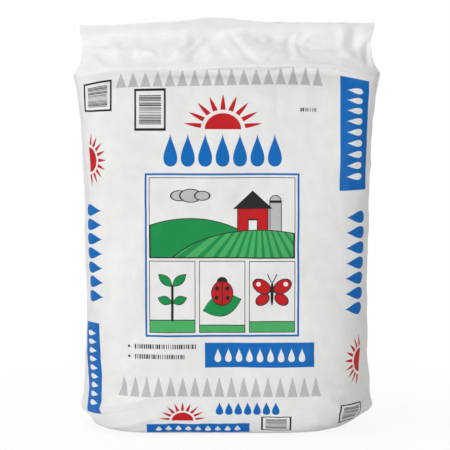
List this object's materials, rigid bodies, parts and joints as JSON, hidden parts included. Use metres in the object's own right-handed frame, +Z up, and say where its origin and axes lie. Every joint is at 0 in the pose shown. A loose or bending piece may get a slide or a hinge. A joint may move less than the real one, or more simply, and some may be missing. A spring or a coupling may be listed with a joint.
{
  "type": "soil bag",
  "caption": "Full, sealed film bag of topsoil with side gussets, a gabled top closed by a heat seal, and a folded-under bottom that it stands on.",
  "frame": {"origin": "on the floor under the middle of the bag", "axes": "+Z up, -Y towards the front panel, +X to the right seen from the front"},
  "size_m": [0.374, 0.1636, 0.51],
  "materials": {
    "film": "white polyethylene film, satin, printed in red, blue, green, grey and black"
  },
  "bodies": {
    "root": {"soil_bag": "film"}
  },
  "joints": []
}
